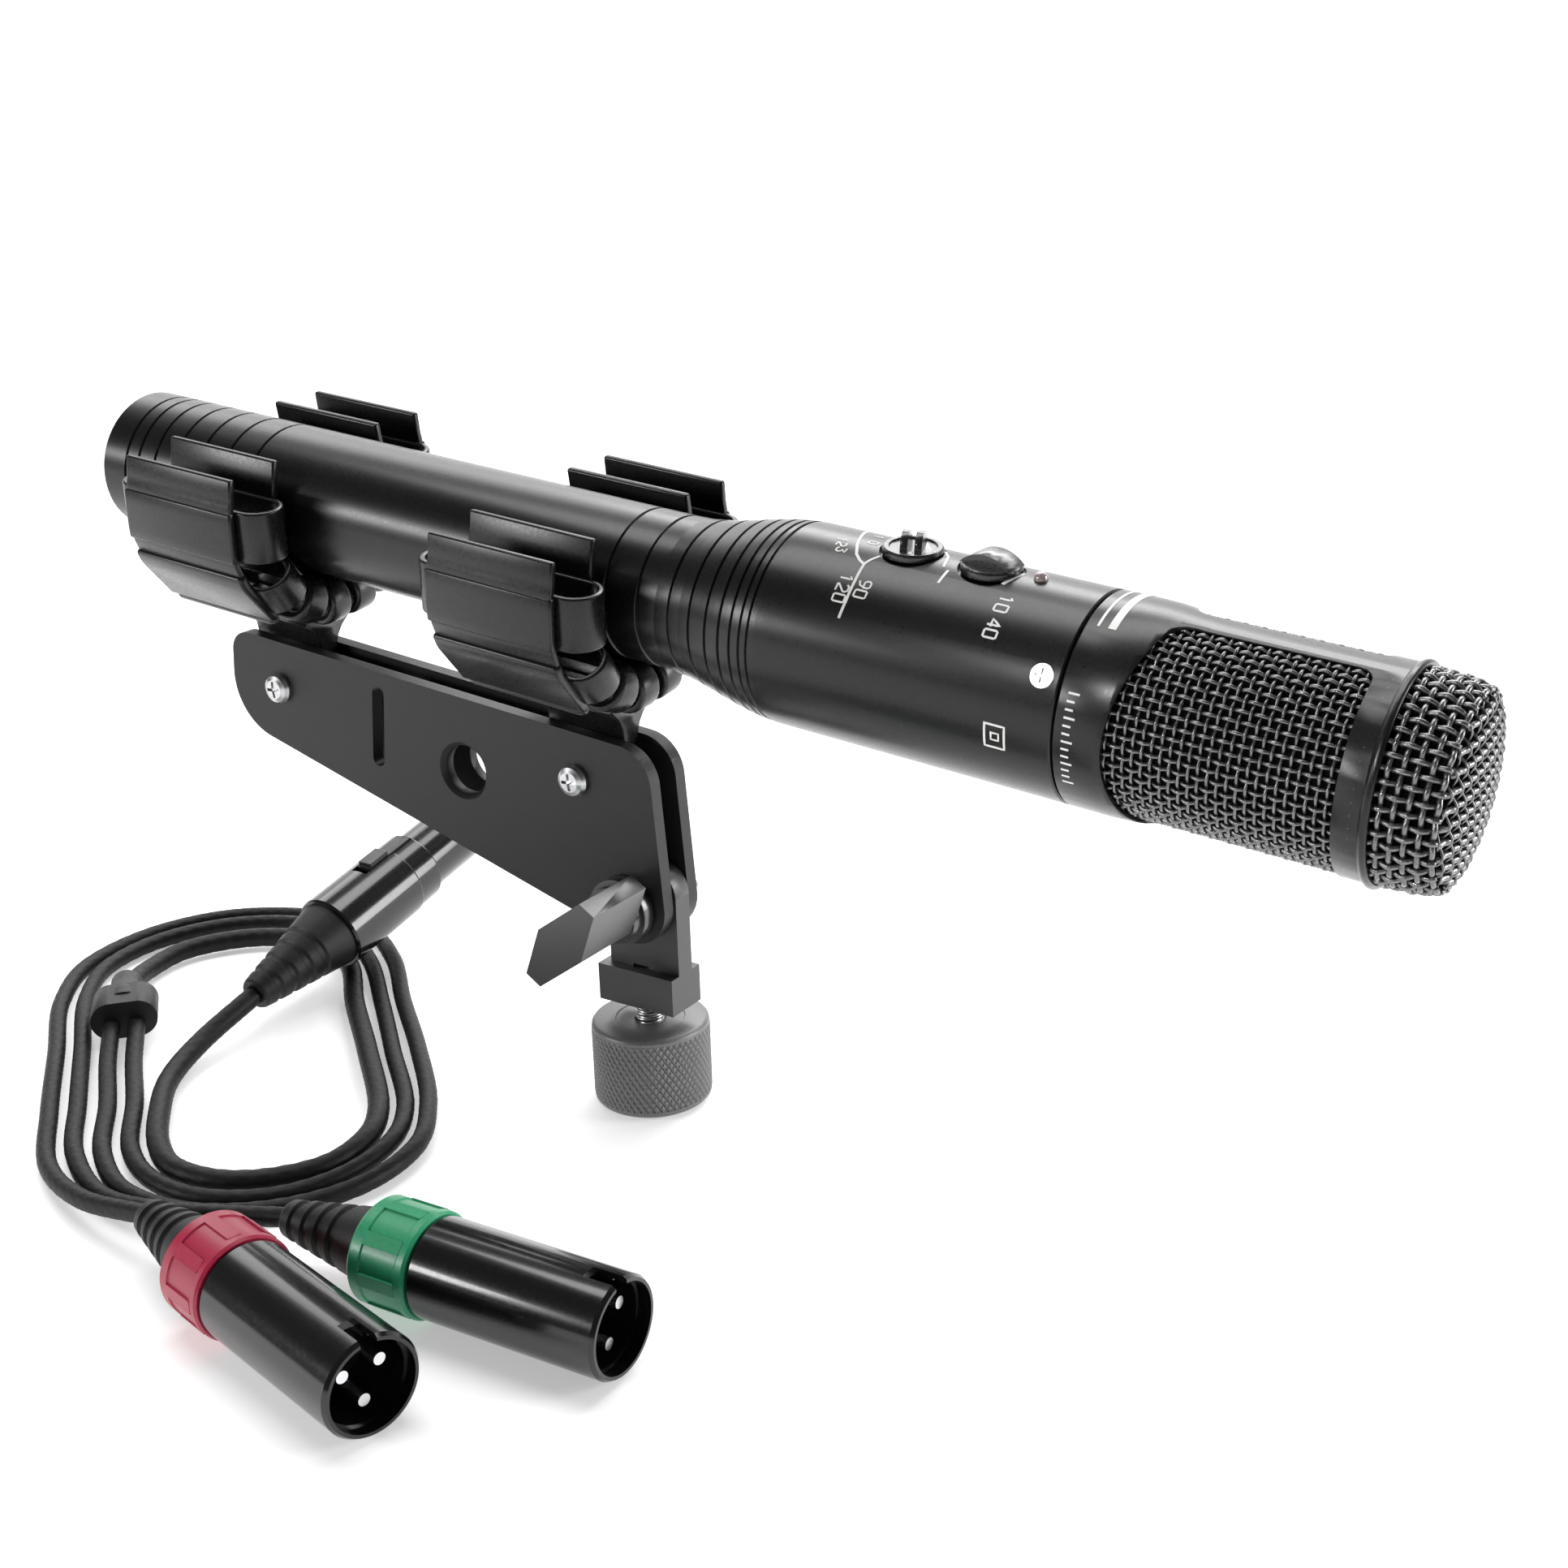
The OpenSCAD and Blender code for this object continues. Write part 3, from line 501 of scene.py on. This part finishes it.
def thread(name, mtx, z0, z1, r, depth, pitch, body, node, mat="screw_steel", tip=0.5, extra=None):
    """a stud along +Z with a rolled thread and chamfered ends"""
    n = 48
    a = np.arange(n) * 2 * np.pi / n
    zs = np.arange(z0, z1 + 1e-6, pitch / 8)
    V = [np.zeros((1, 3)) + [0, 0, z0]]
    rows = []
    for q in zs:
        ph = (a / (2 * np.pi) - q / pitch) % 1
        h = np.clip(np.abs(ph - 0.5) * 3 - 0.25, 0, 1)
        rr = r - depth * (1 - h)
        lim = r - depth + min(depth, max(0, (q - z0)) * depth / tip, max(0, (z1 - q)) * depth / tip)
        rows.append(np.minimum(rr, lim))
    for q, rr in zip(zs, rows):
        V.append(np.stack([rr * np.cos(a), rr * np.sin(a), np.full(n, q)], 1))
    V.append(np.zeros((1, 3)) + [0, 0, z1])
    V = np.concatenate(V)
    m = len(zs)
    F = [tuple(v for v in f) for f in grid_faces(m, n, base=1)]
    F = [f[::-1] for f in F]
    F += [(0, 1 + (k + 1) % n, 1 + k) for k in range(n)]
    e = 1 + m * n
    F += [(e, 1 + (m - 1) * n + k, 1 + (m - 1) * n + (k + 1) % n) for k in range(n)]
    piece(name, xf(mtx, V * MM), [f[::-1] for f in F] if False else F, mat, body, replaces=(node,), sharp=50)


knurled_adapter()
thread("stud_thread", Matrix.Identity(4), 13.2, 31.0, 3.15, 0.42, 1.27, "swivel", "adapter_stud")
thread("wing_screw_thread", T_TILT @ Matrix.Rotation(math.radians(-90), 4, "X"), -24.0, 15.0, 3.0, 0.4, 1.0, "wing", "wing_screw")


# ---------------------------------------------------------------- printed marks (generic)
def on_body(x, phi, r=20.03):
    """point on the microphone: phi in degrees from the knob line towards the wing side"""
    t = math.radians(phi)
    return np.array([x, -r * math.sin(t), r * math.cos(t)]), np.array([0, -math.sin(t), math.cos(t)])


def mark(name, line, w, close=False):
    """flat printed line on the body; line is [(x mm, s mm round the body from the knob line)]"""
    L = [np.array(p, float) for p in line]
    pts = [L[0]]
    for p, q in zip(L[:-1], L[1:]):
        k = max(1, int(np.linalg.norm(q - p) / 0.6))
        pts += [p + (q - p) * (i + 1) / k for i in range(k)]
    pts = np.array(pts)
    t = np.gradient(pts, axis=0)
    t /= np.linalg.norm(t, axis=1)[:, None]
    nn = np.stack([-t[:, 1], t[:, 0]], 1) * w / 2
    V, F = [], []
    for p, d in zip(pts, nn):
        for s, r in ((1, 20.0), (1, 20.06), (-1, 20.06), (-1, 20.0)):
            q = p + s * d
            V.append(on_body(q[0], math.degrees(q[1] / 20.0), r - 0.02 * (r < 20.01))[0])
    m = len(pts)
    F = grid_faces(m, 4)
    F += [(3, 2, 1, 0), tuple((m - 1) * 4 + k for k in range(4))]
    return np.array(V), F


DIGITS = {
    "0": [[(0.1, 0), (0.9, 0), (1, 0.2), (1, 1.5), (0.9, 1.7), (0.1, 1.7), (0, 1.5), (0, 0.2), (0.1, 0)]],
    "1": [[(0.15, 1.35), (0.55, 1.7), (0.55, 0)]],
    "2": [[(0, 1.4), (0.2, 1.7), (0.8, 1.7), (1, 1.4), (1, 1.1), (0, 0.15), (0, 0), (1, 0)]],
    "3": [[(0, 1.7), (1, 1.7), (0.45, 1.0), (0.85, 0.9), (1, 0.6), (1, 0.3), (0.8, 0), (0.15, 0), (0, 0.25)]],
    "4": [[(0.8, 0), (0.8, 1.7), (0, 0.5), (1.05, 0.5)]],
    "6": [[(0.9, 1.7), (0.3, 1.5), (0, 0.8), (0, 0.25), (0.2, 0), (0.8, 0), (1, 0.25), (1, 0.65), (0.8, 0.9), (0.2, 0.9), (0, 0.65)]],
    "9": [[(0.1, 0), (0.7, 0.2), (1, 0.9), (1, 1.45), (0.8, 1.7), (0.2, 1.7), (0, 1.45), (0, 1.05), (0.2, 0.8), (0.8, 0.8), (1, 1.05)]],
}


def print_marks():
    V, F, b = [], [], 0

    def put(line, w):
        nonlocal b
        v, f = mark("", line, w)
        V.append(v)
        F.extend(tuple(i + b for i in q) for q in f)
        b += len(v)

    def number(text, x, s, k, w, lean=0.0):
        """digits that read down the side, tops towards the head, starting at x, s"""
        for i, c in enumerate(text):
            for line in DIGITS[c]:
                put([(x + q * k + lean * i, s + (i * 1.45 + p) * k) for p, q in line], w)

    put([(46.6, -6.6), (47.0, -3.6), (47.9, -0.8), (49.2, 2.7), (50.8, 5.7), (52.4, 7.2), (53.7, 7.9)], 0.55)
    put([(53.7, 7.7), (54.0, 12.2), (54.1, 16.3), (53.9, 19.8)], 0.55)
    put([(53.6, 8.0), (54.3, 6.3), (55.3, 4.8)], 0.55)
    put([(64.6, -3.2), (66.8, -0.4), (68.0, 3.6)], 0.5)
    put([(69.4, 4.3), (69.4, 8.2)], 0.55)
    put([(82.2, -0.7), (80.6, 4.7)], 0.75)
    # plain numbers where the words are
    number("123", 44.6, 1.6, 1.15, 0.34, 0.9)
    number("120", 50.9, 11.2, 1.45, 0.36, 0.15)
    number("90", 55.0, 11.6, 1.45, 0.36)
    number("0", 50.6, 0.2, 1.1, 0.34)
    number("1", 49.6, -3.4, 1.1, 0.34)
    number("10", 82.0, 7.6, 1.5, 0.4)
    number("40", 82.2, 13.0, 1.5, 0.4)
    # side mark: an outlined square with a square in it, on both sides of the body
    for c in (34.0, -34.0):
        put([(86.1, c - 2.3), (90.0, c - 2.3), (90.0, c + 2.3), (86.1, c + 2.3), (86.1, c - 2.5)], 0.42)
        put([(87.4, c - 0.7), (88.9, c - 0.7), (88.9, c + 0.7), (87.4, c + 0.7), (87.4, c - 0.9)], 0.36)
    # fine scale on the head just ahead of the seam
    for i in range(13):
        put([(101.0, 22.6 + 1.45 * i), (102.5 + (0.6 if i % 3 == 0 else 0), 22.6 + 1.45 * i)], 0.4)
    # plain double bar on top of the head
    put([(101.6, -9.0), (101.6, 9.4)], 0.5)
    put([(104.2, -9.0), (104.2, 9.4)], 1.5)
    piece("print_marks", xf(T_MIC, np.concatenate(V) * MM), F, "print_white", "microphone", smooth=False)


def pointer_dot():
    """filled pointer slot in the level selector's rim"""
    M = T_MIC @ Matrix.Translation((59.6 * MM, 0, 0)) @ Matrix.Rotation(math.radians(20), 4, "Z")
    V, F = [], []
    n = 16
    for k in range(n):
        t = 2 * math.pi * k / n
        x, y = 0.42 * math.cos(t), -3.6 + 0.85 * math.sin(t)
        V += [(x, y, 20.3), (x, y, 20.72), (x * 0.85, -3.6 + (y + 3.6) * 0.85, 20.8)]
    for k in range(n):
        a, c = 3 * k, 3 * ((k + 1) % n)
        F += [(a, c, c + 1, a + 1), (a + 1, c + 1, c + 2, a + 2)]
    F.append(tuple(3 * k + 2 for k in range(n)))
    F.append(tuple(3 * k for k in range(n - 1, -1, -1)))
    piece("level_pointer", xf(M, np.array(V) * MM), F, "print_white", "level", smooth=False)


pointer_dot()
print_marks()


# ---------------------------------------------------------------- elastomer cradles
def bend(pts, d=1.6, k=5):
    """a bent line with its corners rounded"""
    P = [np.array(p, float) for p in pts]
    out = [P[0]]
    for a, v, c in zip(P[:-2], P[1:-1], P[2:]):
        la, lc = np.linalg.norm(a - v), np.linalg.norm(c - v)
        q = min(d, 0.45 * la, 0.45 * lc)
        s0, s1 = v + (a - v) / la * q, v + (c - v) / lc * q
        for t in np.linspace(0, 1, k):
            out.append((1 - t) ** 2 * s0 + 2 * t * (1 - t) * v + t * t * s1)
    out.append(P[-1])
    return np.array(out)


def section(w, t, b, k=4):
    """rounded rectangle, w along the width axis and t through the thickness"""
    b = min(b, w / 2 - 1e-3, t / 2 - 1e-3)
    pts = []
    for cx, cy, a0 in ((1, 1, 0), (-1, 1, 90), (-1, -1, 180), (1, -1, 270)):
        for i in range(k):
            a = math.radians(a0 + 90 * i / (k - 1))
            pts.append((cx * (w / 2 - b) + b * math.cos(a), cy * (t / 2 - b) + b * math.sin(a)))
    return np.array(pts)


def ribbon(path, W, w, t, b=0.35, closed=False, crown=0.0):
    """band of width w and thickness t swept along a path; crown bows its outer face"""
    P = np.asarray(path, float)
    W = np.array(W, float)
    if closed:
        T = np.roll(P, -1, 0) - np.roll(P, 1, 0)
    else:
        T = np.gradient(P, axis=0)
    T /= np.linalg.norm(T, axis=1)[:, None]
    Nn = np.cross(T, W)
    Nn /= np.linalg.norm(Nn, axis=1)[:, None]
    S = section(w, t, b)
    if crown:
        S[:, 1] += np.sign(crown) * 0 + crown * (1 - (2 * S[:, 0] / w) ** 2) * (S[:, 1] * crown > 0)
    m = len(S)
    rings = []
    if closed:
        for p, n_ in zip(P, Nn):
            rings.append(p + S[:, :1] * W + S[:, 1:] * n_)
    else:
        def small(e):
            return S * np.array([(w - 2 * e) / w, (t - 2 * e) / t])
        L0, L1 = T[0], T[-1]
        for e, d in ((b, 0.0), (0.3 * b, 0.3 * b)):
            q = small(e)
            rings.append(P[0] + L0 * d + q[:, :1] * W + q[:, 1:] * Nn[0])
        rings.append(P[0] + L0 * b + S[:, :1] * W + S[:, 1:] * Nn[0])
        for p, n_ in list(zip(P, Nn))[1:-1]:
            rings.append(p + S[:, :1] * W + S[:, 1:] * n_)
        rings.append(P[-1] - L1 * b + S[:, :1] * W + S[:, 1:] * Nn[-1])
        for e, d in ((0.3 * b, 0.3 * b), (b, 0.0)):
            q = small(e)
            rings.append(P[-1] - L1 * d + q[:, :1] * W + q[:, 1:] * Nn[-1])
    V = np.concatenate(rings)
    F = grid_faces(len(rings), m, wrap_u=closed)
    if not closed:
        F.append(tuple(range(m - 1, -1, -1)))
        F.append(tuple((len(rings) - 1) * m + i for i in range(m)))
    return V, F


def racetrack(g, ang, r, ls, grow=0.35):
    """closed loop round the gap at g = (y, z): outer run, half turn, inner run, half turn"""
    a = math.radians(ang)
    d = np.array([0, math.cos(a), math.sin(a)])
    pts = []
    for t in np.linspace(-90, 90, 13):
        rr = r + grow * (0.5 - 0.5 * math.sin(math.radians(t)))
        pts.append((ls + r * math.cos(math.radians(t)), -rr * math.sin(math.radians(t))))
    for t in np.linspace(90, 270, 13):
        rr = r + grow * (0.5 - 0.5 * math.sin(math.radians(t)))
        pts.append((-ls + r * math.cos(math.radians(t)), -rr * math.sin(math.radians(t))))
    G = np.array([0, g[0], g[1]])
    return np.array([[x, 0, 0] + G + d * u for x, u in pts]), np.array([0, -math.sin(a), math.cos(a)])


def cradle_mesh(name, node, cx):
    parts = []
    X = (1, 0, 0)

    def strip(pts, t, L, b=0.4, d=1.6):
        q = bend(pts, d)
        parts.append(ribbon(np.stack([0 * q[:, 0], q[:, 0], q[:, 1]], 1), X, L, t, b))

    strip([(-15.6, 14.2), (-16.9, 6), (-17.1, -5.5), (-11.6, -13.6), (-5, -17.3), (5, -17.3), (11.6, -13.6), (17.1, -5.5), (16.9, 6), (15.6, 14.2)], 1.6, 31, 0.5)
    for sg in (-1, 1):
        def m(pts):
            return [(-sg * y, z) for y, z in pts]
        strip(m([(-28.3, 13.4), (-28.85, 8.4), (-29.35, 6.6), (-29.4, 0), (-29.35, -5.0), (-27.3, -10.4), (-19.6, -20.8)]), 1.55, 31, 0.5, 1.0)
        # raised pad as wide as the bands behind it
        strip(m([(-29.7, 6.3), (-29.95, 2), (-30.0, -1.5), (-29.9, -4.9)]), 1.5, 31.6, 0.5, 1.0)
        # lower wall stands a little proud below the fold, with a rolled rim along its edge
        strip(m([(-28.6, -7.9), (-27.6, -10.6), (-20.3, -20.3)]), 2.4, 31.5, 0.6)
        th = np.linspace(0, 2 * np.pi, 17)[:-1]
        rim = [(-14.9, 0.7), (-14.3, 1.15), (-13.5, 1.35), (13.5, 1.35), (14.3, 1.15), (14.9, 0.7)]
        V = np.concatenate([np.stack([np.full(16, x), -sg * -19.5 + r * np.cos(th), -21.1 + r * np.sin(th)], 1) for x, r in rim])
        F = grid_faces(len(rim), 16) + [tuple(range(15, -1, -1)), tuple(16 * 5 + i for i in range(16))]
        parts.append((V, F))
        strip(m([(-20.4, -21.0), (-16.2, -23.6), (-12.2, -24.9)]), 1.5, 17, 0.5)
        for g, ang, r, w, t, ls, grow, crown in (((-23.0, 0.8), 180, 4.85, 11.4, 1.45, 16.2, 0, 0), ((-18.9, -12.9), 212, 4.5, 7.8, 1.45, 15.4, 0, 0),
                                                 ((-11.4, -18.9), 244, 4.3, 6.4, 2.1, 14.6, 0, 0.35), ((-4.0, -21.6), 268, 4.3, 6.2, 2.1, 14.4, 0, 0.35)):
            gg = (-sg * g[0], g[1])
            aa = ang if sg < 0 else 180 - ang
            p, W = racetrack(gg, aa if sg > 0 else ang, r, ls, grow) if False else racetrack((g[0], g[1]), ang, r, ls, grow)
            V, F = ribbon(p, W, w, t, 0.5 if t < 2 else 0.95, closed=True)
            if sg > 0:
                V = V * np.array([1, -1, 1])
                F = [f[::-1] for f in F]
            parts.append((V, F))
    strip([(-14, -23.2), (-9, -26.2), (9, -26.2), (14, -23.2)], 1.8, 26, 0.6)
    # everything above the stem sits a little behind it and turns with the microphone
    R = np.array(Matrix.Rotation(ROLL, 3, "X"))
    parts = [(V @ R.T + np.array([-3.2, 0, 0]), F) for V, F in parts]
    # stem between the side plates
    prof = [(-8.4, -25.6), (8.4, -25.6), (6.6, -27.6), (4.4, -29.6), (3.2, -31.6), (2.6, -34), (2.6, -52), (-2.6, -52), (-2.6, -34), (-3.2, -31.6), (-4.4, -29.6), (-6.6, -27.6)]
    n = len(prof)
    V, F = [], []
    for x, e in ((-10, 0.4), (-9.6, 0.0), (9.6, 0.0), (10, 0.4)):
        for y, z in prof:
            V.append((x, y - math.copysign(e, y), z))
    F = grid_faces(4, n) + [tuple(range(n - 1, -1, -1)), tuple(3 * n + i for i in range(n))]
    parts.append((np.array(V), F))
    V, F, base = [], [], 0
    for v, f in parts:
        V.append(v)
        F += [tuple(i + base for i in q) for q in f]
        base += len(v)
    M = T_TILT @ Matrix.Translation((cx * MM, 0, MIC_H))
    piece(name, xf(M, np.concatenate(V) * MM), F, "cradle_elastomer", "frame", replaces=(node,), sharp=50)


cradle_mesh("front_cradle_bands", "cradle_front", -14.5)
cradle_mesh("rear_cradle_bands", "cradle_rear", -99.3)


# ---------------------------------------------------------------- rounded edges on the turned, cut and moulded CAD parts
def soften(node, w, seg=2, angle=32):
    o = N[node]
    wd = o.modifiers.new("weld", "WELD")
    wd.merge_threshold = 0.00001
    bv = o.modifiers.new("bevel", "BEVEL")
    bv.width = w * MM
    bv.segments = seg
    bv.limit_method = "ANGLE"
    bv.angle_limit = math.radians(angle)
    bv.use_clamp_overlap = True
    bv.harden_normals = True


for nd, w in {"near_plate": 0.5, "far_plate": 0.5, "swivel_block": 0.5, "level_knob": 0.25, "power_knob": 0.5,
              "wing_knob": 0.5, "plate_nuts": 0.25, "pivot_nut": 0.25, "plug5_latch": 0.2, "y_splitter": 0.4, "pivot_washers": 0.2, "head_housing": 0.3}.items():
    soften(nd, w)


# ---------------------------------------------------------------- stage
def stage():
    me = bpy.data.meshes.new("floor")
    prof = [(-3.0, 0.0), (2.2, 0.0)] + [(2.2 + 0.9 * math.sin(math.radians(t)), 0.9 - 0.9 * math.cos(math.radians(t))) for t in range(6, 91, 6)] + [(3.1, 4.0)]
    az = math.radians(31.81)
    r = np.array([math.cos(az), math.sin(az), 0])
    f = np.array([-math.sin(az), math.cos(az), 0])
    V = []
    for d, h in prof:
        for s in (-5, 5):
            p = r * s + f * d
            V.append((p[0], p[1], h - 0.0006))
    me.from_pydata(V, [], [(2 * i, 2 * i + 1, 2 * i + 3, 2 * i + 2) for i in range(len(prof) - 1)])
    me.polygons.foreach_set("use_smooth", [True] * len(me.polygons))
    o = bpy.data.objects.new("floor", me)
    SC.collection.objects.link(o)
    material("floor_paper", (0.86, 0.86, 0.86), 0.9, var=0.01, rvar=0.03, scale=20, bump=0.05, bdist=0.0001, bscale=300, spec=0.2)
    bsdf = [n for n in MATS["floor_paper"].node_tree.nodes if n.type == "BSDF_PRINCIPLED"][0]
    bsdf.inputs["Emission Color"].default_value = (1, 1, 1, 1)
    bsdf.inputs["Emission Strength"].default_value = 0.42
    me.materials.append(MATS["floor_paper"])

    w = bpy.data.worlds.new("world")
    SC.world = w
    w.use_nodes = True
    bg = w.node_tree.nodes["Background"]
    bg.inputs[0].default_value = (1, 1, 1, 1)
    bg.inputs[1].default_value = 0.13

    def area(name, loc, target, size, power, sy=None):
        d = bpy.data.lights.new(name, "AREA")
        d.shape = "RECTANGLE"
        d.size = size
        d.size_y = sy or size
        d.energy = power
        o2 = bpy.data.objects.new(name, d)
        SC.collection.objects.link(o2)
        o2.location = loc
        o2.rotation_euler = (Vector(target) - Vector(loc)).to_track_quat("-Z", "Y").to_euler()

    area("overhead", (-0.25, 0.25, 1.35), (-0.05, 0, 0), 1.3, 14, 0.5)
    area("back", (0.0, 0.95, 0.95), (0, 0, 0.1), 1.5, 9, 0.35)
    area("far", (f[0] * 2.3, f[1] * 2.3, 1.9), (f[0] * 2.5, f[1] * 2.5, 0), 3.5, 60, 1.6)
    area("left", (-0.85, -1.0, 0.42), (-0.05, 0, 0.1), 0.5, 7, 0.2)
    area("right", (1.0, 0.55, 0.3), (0.03, 0, 0.06), 0.45, 9)
    # narrow light that catches the solid band of the head
    cam = Vector((0.2570, -0.3356, 0.2254))
    n = T_MIC.to_3x3() @ Vector((0, -math.cos(math.radians(30)), math.sin(math.radians(30))))
    n.normalize()
    P = T_MIC @ Vector((0.1525, 0, 0)) + n * 0.019
    v = (cam - P).normalized()
    q = P + (2 * v.dot(n) * n - v) * 0.9
    d = bpy.data.lights.new("head_spot", "SPOT")
    d.energy = 130
    d.spot_size = math.radians(4.6)
    d.spot_blend = 0.8
    d.shadow_soft_size = 0.09
    o3 = bpy.data.objects.new("head_spot", d)
    SC.collection.objects.link(o3)
    o3.location = q
    o3.rotation_euler = (P + T_MIC.to_3x3() @ Vector((0.006, 0, 0)) - q).to_track_quat("-Z", "Y").to_euler()


stage()
